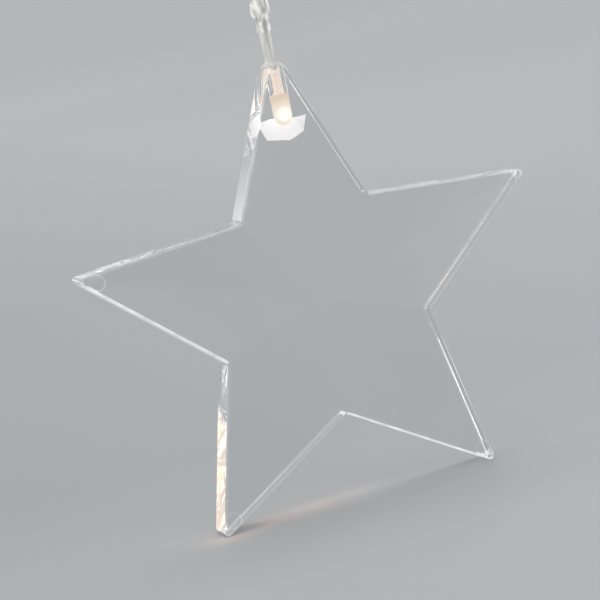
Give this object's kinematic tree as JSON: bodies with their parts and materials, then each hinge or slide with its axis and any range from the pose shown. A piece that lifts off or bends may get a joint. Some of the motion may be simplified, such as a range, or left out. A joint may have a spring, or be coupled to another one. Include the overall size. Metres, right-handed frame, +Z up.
{
  "type": "star light pendant",
  "caption": "Flat clear five-pointed star pendant, edge-lit by a small round lamp in its cut-off top tip, hanging on a twisted two-core cord from a small two-pin plug.",
  "frame": {"origin": "middle of the plug's mating face, by which the pendant is held; the star hangs straight below", "axes": "+Z up along the hanging cord, towards the light string; +Y from the star's front face to its rear face; +X to the right seen from the front"},
  "size_m": [0.0778, 0.0122, 0.1498],
  "materials": {
    "clear_star": "polished clear, moulded",
    "white_patch": "matt white film",
    "lamp_body": "clear cast, lit warm white",
    "lamp_frame": "plated",
    "lamp_die": "polished",
    "lit_phosphor": "matt, lit warm white",
    "bond_metal": "drawn wire",
    "shrink_clear": "clear shrink sleeve",
    "solder_metal": "bright solder",
    "core_skin": "clear soft insulation",
    "copper_strand": "stranded copper",
    "glue_clear": "clear set glue",
    "cord_skin": "clear soft insulation, twisted pair",
    "relief_soft": "soft translucent",
    "plug_clear": "clear moulded",
    "carrier_white": "satin moulded",
    "pin_metal": "plated contact",
    "resistor_skin": "dipped",
    "seal_rubber": "soft translucent"
  },
  "bodies": {
    "plug": {"strain_relief": "relief_soft", "plug_shell": "plug_clear", "plug_insert": "carrier_white", "plug_pin_positive": "pin_metal", "plug_pin_negative": "pin_metal", "plug_core_positive": "core_skin", "plug_core_negative": "core_skin", "plug_wire_positive": "copper_strand", "plug_wire_negative": "copper_strand", "plug_resistor": "resistor_skin", "plug_seal": "seal_rubber"},
    "nut": {"coupling_nut": "plug_clear"},
    "drop": {"cord": "cord_skin"},
    "collar": {"twist_collar": "shrink_clear"},
    "pendant": {"star": "clear_star", "reflector_patch": "white_patch", "lamp_lens": "lamp_body", "lamp_cathode": "lamp_frame", "lamp_anode": "lamp_frame", "lamp_chip": "lamp_die", "lamp_phosphor": "lit_phosphor", "lamp_bond_wire": "bond_metal", "lamp_sleeve": "shrink_clear", "cathode_solder": "solder_metal", "anode_solder": "solder_metal", "core_positive": "core_skin", "core_negative": "core_skin", "wire_positive": "copper_strand", "wire_negative": "copper_strand", "mouth_glue": "glue_clear"}
  },
  "joints": [
    {"name": "nut_turn", "type": "hinge", "parent": "plug", "child": "nut", "pos_m": [0, 0, 0], "axis": [0, 0, 1], "continuous": true},
    {"name": "drop_swing", "type": "hinge", "parent": "plug", "child": "drop", "pos_m": [0, 0, -0.026], "axis": [1, 0, 0], "range_deg": [-40, 40]},
    {"name": "drop_twist", "type": "hinge", "parent": "drop", "child": "collar", "pos_m": [0, 0, -0.063], "axis": [0, 0, 1], "range_deg": [-180, 180]},
    {"name": "star_rock", "type": "hinge", "parent": "collar", "child": "pendant", "pos_m": [0, 0, -0.06767], "axis": [0, 1, 0], "range_deg": [-25, 25]}
  ]
}
